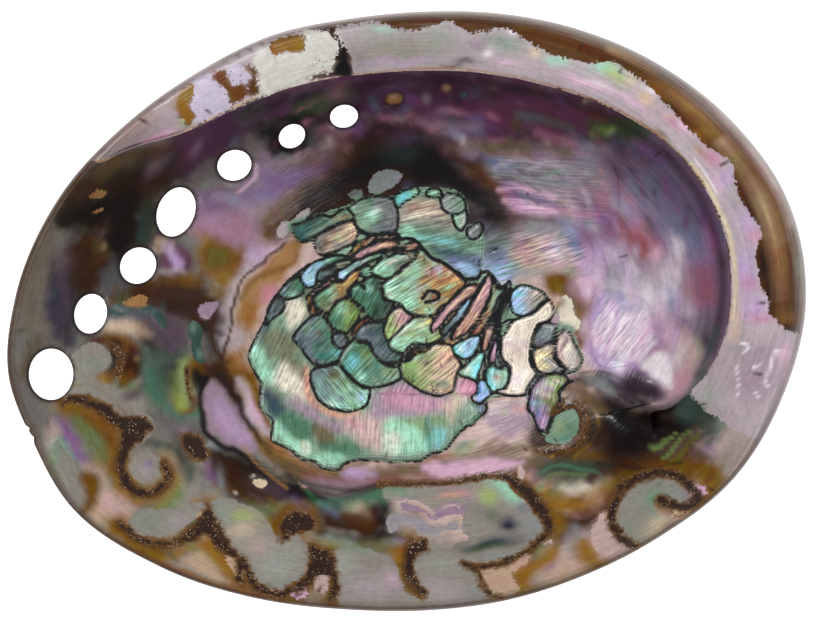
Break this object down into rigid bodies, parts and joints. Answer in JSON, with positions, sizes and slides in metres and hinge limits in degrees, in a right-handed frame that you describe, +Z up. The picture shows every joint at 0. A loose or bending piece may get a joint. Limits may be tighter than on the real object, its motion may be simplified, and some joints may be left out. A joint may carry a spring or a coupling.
{
  "type": "abalone shell",
  "caption": "Polished abalone shell lying on its back, a deep pearly bowl with a shelf along one side, a spiral pit at one end and a row of breathing holes.",
  "frame": {"origin": "under the middle of the outline, at the level of the worn spot that the shell rests on", "axes": "+X along the length towards the spire, +Y across towards the shelf and the breathing holes, +Z up out of the bowl"},
  "size_m": [0.15, 0.1128, 0.0395],
  "materials": {
    "pearl": "polished mother of pearl with iridescent pink, green and violet clouds"
  },
  "bodies": {
    "root": {"abalone_shell": "pearl"}
  },
  "joints": []
}
